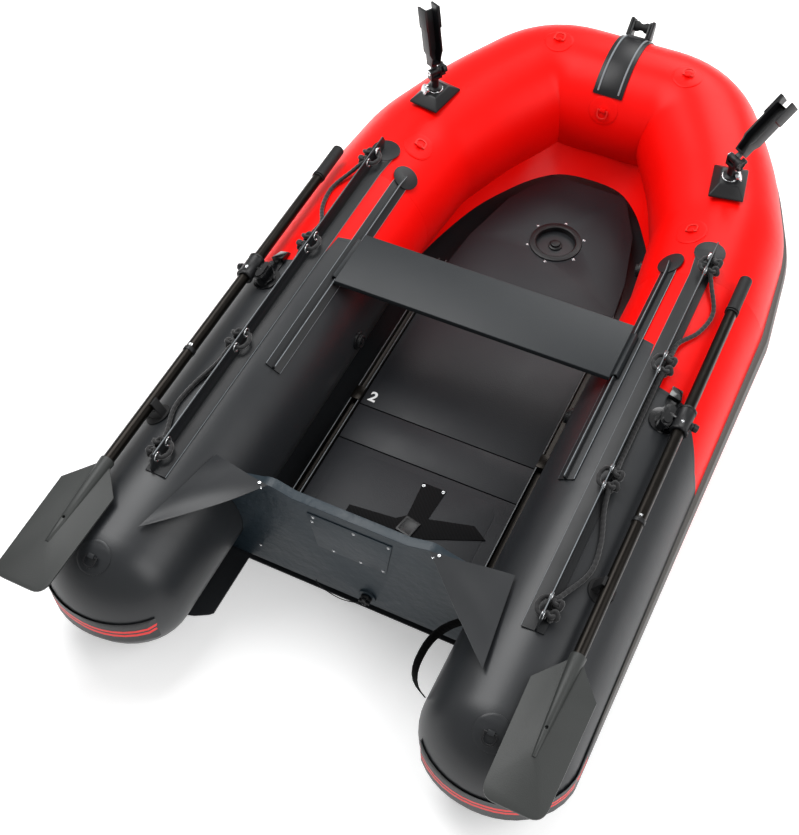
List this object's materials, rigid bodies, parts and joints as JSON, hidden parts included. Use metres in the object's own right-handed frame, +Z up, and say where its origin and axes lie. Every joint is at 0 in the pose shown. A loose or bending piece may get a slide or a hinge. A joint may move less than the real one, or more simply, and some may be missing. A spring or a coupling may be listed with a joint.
{
  "type": "inflatable dinghy",
  "caption": "Inflatable dinghy with a rigid floor, bench seat, transom, oars in pivoting oarlocks, laced grab ropes, rod holders and a bow roller.",
  "frame": {"origin": "under the middle of the boat, on the ground that the side tubes rest on", "axes": "+X to starboard, +Y to the bow, +Z up"},
  "size_m": [1.4092, 2.4996, 0.6873],
  "materials": {
    "grey_pvc": "semi-gloss dark grey PVC-coated fabric",
    "red_pvc": "semi-gloss red PVC-coated fabric",
    "rubber": "satin black moulded PVC and rubber",
    "floor_board": "satin dark grey laminate on plywood",
    "black_aluminium": "black anodised",
    "black_plastic": "satin black moulded nylon",
    "transom_paint": "dark blue-grey paint on plywood",
    "seat_paint": "satin dark grey textured coating",
    "blade_plastic": "grey moulded polypropylene",
    "webbing": "black woven polyester",
    "red_plastic": "satin red nylon",
    "ring_plastic": "satin black nylon"
  },
  "bodies": {
    "hull": {"tube_port": "grey_pvc", "tube_starboard": "grey_pvc", "tube_bow": "red_pvc", "rub_strake": "rubber", "bottom_skin": "grey_pvc", "keel_tube": "grey_pvc", "floor_board_bow": "floor_board", "floor_board_rear": "floor_board", "floor_board_narrow": "floor_board", "floor_board_front": "floor_board", "floor_stringer_port": "black_aluminium", "floor_stringer_starboard": "black_aluminium", "access_cup": "black_plastic", "motor_plate": "black_plastic", "transom_board": "transom_paint", "drain_cord": "webbing", "transom_gusset_port": "grey_pvc", "transom_gusset_starboard": "grey_pvc", "seat_rail_port": "rubber", "seat_rail_starboard": "rubber", "grab_rail_port": "rubber", "grab_rail_starboard": "rubber", "grab_rope_port": "webbing", "grab_rope_starboard": "webbing", "oarlock_base_port": "black_plastic", "oarlock_base_starboard": "black_plastic", "oar_clip_port": "rubber", "oar_clip_starboard": "rubber", "bow_bracket": "black_plastic", "rod_base_port": "black_plastic", "rod_base_starboard": "black_plastic", "strap_loop": "webbing", "floor_strap": "webbing"},
    "seat": {"seat_board": "seat_paint"},
    "drain_plug": {"drain_plug": "black_plastic"},
    "keel_valve_cap": {"keel_valve_cap": "black_plastic"},
    "bow_roller": {"bow_roller": "rubber"},
    "d_ring_bow_port": {"d_ring_bow_port": "red_plastic"},
    "d_ring_bow_starboard": {"d_ring_bow_starboard": "red_plastic"},
    "d_ring_inner_bow": {"d_ring_inner_bow": "red_plastic"},
    "d_ring_side_port": {"d_ring_side_port": "red_plastic"},
    "d_ring_side_starboard": {"d_ring_side_starboard": "red_plastic"},
    "d_ring_tail_port": {"d_ring_tail_port": "ring_plastic"},
    "d_ring_tail_starboard": {"d_ring_tail_starboard": "ring_plastic"},
    "oarlock_port": {"oarlock_swivel_port": "black_plastic"},
    "oar_port": {"oar_collar_port": "black_plastic", "oar_shaft_port": "black_aluminium", "oar_grip_port": "black_plastic", "oar_blade_port": "blade_plastic"},
    "oar_knob_port": {"oar_knob_port": "black_plastic"},
    "rod_swivel_port": {"rod_swivel_port": "black_plastic"},
    "rod_cradle_port": {"rod_cradle_port": "black_plastic"},
    "oarlock_starboard": {"oarlock_swivel_starboard": "black_plastic"},
    "oar_starboard": {"oar_collar_starboard": "black_plastic", "oar_shaft_starboard": "black_aluminium", "oar_grip_starboard": "black_plastic", "oar_blade_starboard": "blade_plastic"},
    "oar_knob_starboard": {"oar_knob_starboard": "black_plastic"},
    "rod_swivel_starboard": {"rod_swivel_starboard": "black_plastic"},
    "rod_cradle_starboard": {"rod_cradle_starboard": "black_plastic"}
  },
  "joints": [
    {"name": "seat_slide", "type": "slide", "parent": "hull", "child": "seat", "axis": [0, 1, 0], "range_m": [-0.24, 0.12]},
    {"name": "drain_plug_turn", "type": "hinge", "parent": "hull", "child": "drain_plug", "pos_m": [0.035, -0.7916, 0.0724], "axis": [0, 1, 0], "range_deg": [0, 720]},
    {"name": "keel_valve_cap_turn", "type": "hinge", "parent": "hull", "child": "keel_valve_cap", "pos_m": [0, 0.545, 0.05], "axis": [0, 0, 1], "range_deg": [0, 90]},
    {"name": "bow_roller_spin", "type": "hinge", "parent": "hull", "child": "bow_roller", "pos_m": [0, 1.1916, 0.398], "axis": [1, 0, 0], "continuous": true},
    {"name": "d_ring_bow_port_flap", "type": "hinge", "parent": "hull", "child": "d_ring_bow_port", "pos_m": [-0.205, 1.0119, 0.4155], "axis": [1, 0, 0], "range_deg": [0, 170]},
    {"name": "d_ring_bow_starboard_flap", "type": "hinge", "parent": "hull", "child": "d_ring_bow_starboard", "pos_m": [0.205, 1.0119, 0.4155], "axis": [1, 0, 0], "range_deg": [0, 170]},
    {"name": "d_ring_inner_bow_flap", "type": "hinge", "parent": "hull", "child": "d_ring_inner_bow", "pos_m": [0, 0.8728, 0.3153], "axis": [-1, 0, 0], "range_deg": [0, 170]},
    {"name": "d_ring_side_port_flap", "type": "hinge", "parent": "hull", "child": "d_ring_side_port", "pos_m": [-0.4097, 0.452, 0.3679], "axis": [0.9272, 0, -0.3746], "range_deg": [0, 170]},
    {"name": "d_ring_side_starboard_flap", "type": "hinge", "parent": "hull", "child": "d_ring_side_starboard", "pos_m": [0.4097, 0.452, 0.3679], "axis": [0.9272, 0, 0.3746], "range_deg": [0, 170]},
    {"name": "d_ring_tail_port_flap", "type": "hinge", "parent": "hull", "child": "d_ring_tail_port", "pos_m": [-0.5, -1.1093, 0.3671], "axis": [-1, 0, 0], "range_deg": [0, 170]},
    {"name": "d_ring_tail_starboard_flap", "type": "hinge", "parent": "hull", "child": "d_ring_tail_starboard", "pos_m": [0.5, -1.1093, 0.3671], "axis": [-1, 0, 0], "range_deg": [0, 170]},
    {"name": "oar_swing_port", "type": "hinge", "parent": "hull", "child": "oarlock_port", "pos_m": [-0.5567, -0.19, 0.3719], "axis": [0.2924, 0, -0.9563], "range_deg": [0, 90]},
    {"name": "oar_dip_port", "type": "hinge", "parent": "oarlock_port", "child": "oar_port", "pos_m": [-0.602, -0.19, 0.3914], "axis": [0.9563, 0, 0.2924], "range_deg": [0, 22.6]},
    {"name": "oar_knob_turn_port", "type": "hinge", "parent": "oar_port", "child": "oar_knob_port", "pos_m": [-0.602, -0.19, 0.3914], "axis": [-0.9563, 0, -0.2924], "range_deg": [0, 360]},
    {"name": "rod_turn_port", "type": "hinge", "parent": "hull", "child": "rod_swivel_port", "pos_m": [-0.45, 0.645, 0.43], "axis": [0, 0, 1], "continuous": true},
    {"name": "oar_swing_starboard", "type": "hinge", "parent": "hull", "child": "oarlock_starboard", "pos_m": [0.5567, -0.19, 0.3719], "axis": [0.2924, 0, 0.9563], "range_deg": [0, 90]},
    {"name": "oar_dip_starboard", "type": "hinge", "parent": "oarlock_starboard", "child": "oar_starboard", "pos_m": [0.602, -0.19, 0.3914], "axis": [0.9563, 0, -0.2924], "range_deg": [0, 22.6]},
    {"name": "oar_knob_turn_starboard", "type": "hinge", "parent": "oar_starboard", "child": "oar_knob_starboard", "pos_m": [0.602, -0.19, 0.3914], "axis": [0.9563, 0, -0.2924], "range_deg": [0, 360]},
    {"name": "rod_turn_starboard", "type": "hinge", "parent": "hull", "child": "rod_swivel_starboard", "pos_m": [0.45, 0.645, 0.43], "axis": [0, 0, 1], "continuous": true},
    {"name": "rod_tilt_port", "type": "hinge", "parent": "rod_swivel_port", "child": "rod_cradle_port", "pos_m": [-0.45, 0.645, 0.4819], "axis": [-0.5446, -0.8387, 0], "range_deg": [-50, 75]},
    {"name": "rod_tilt_starboard", "type": "hinge", "parent": "rod_swivel_starboard", "child": "rod_cradle_starboard", "pos_m": [0.45, 0.645, 0.4819], "axis": [-0.8387, 0.5446, 0], "range_deg": [-92, 33]}
  ],
  "couplings": [
    {"joint": "oar_dip_port", "follows": "oar_swing_port", "ratio": 0.25},
    {"joint": "oar_dip_starboard", "follows": "oar_swing_starboard", "ratio": 0.25}
  ]
}
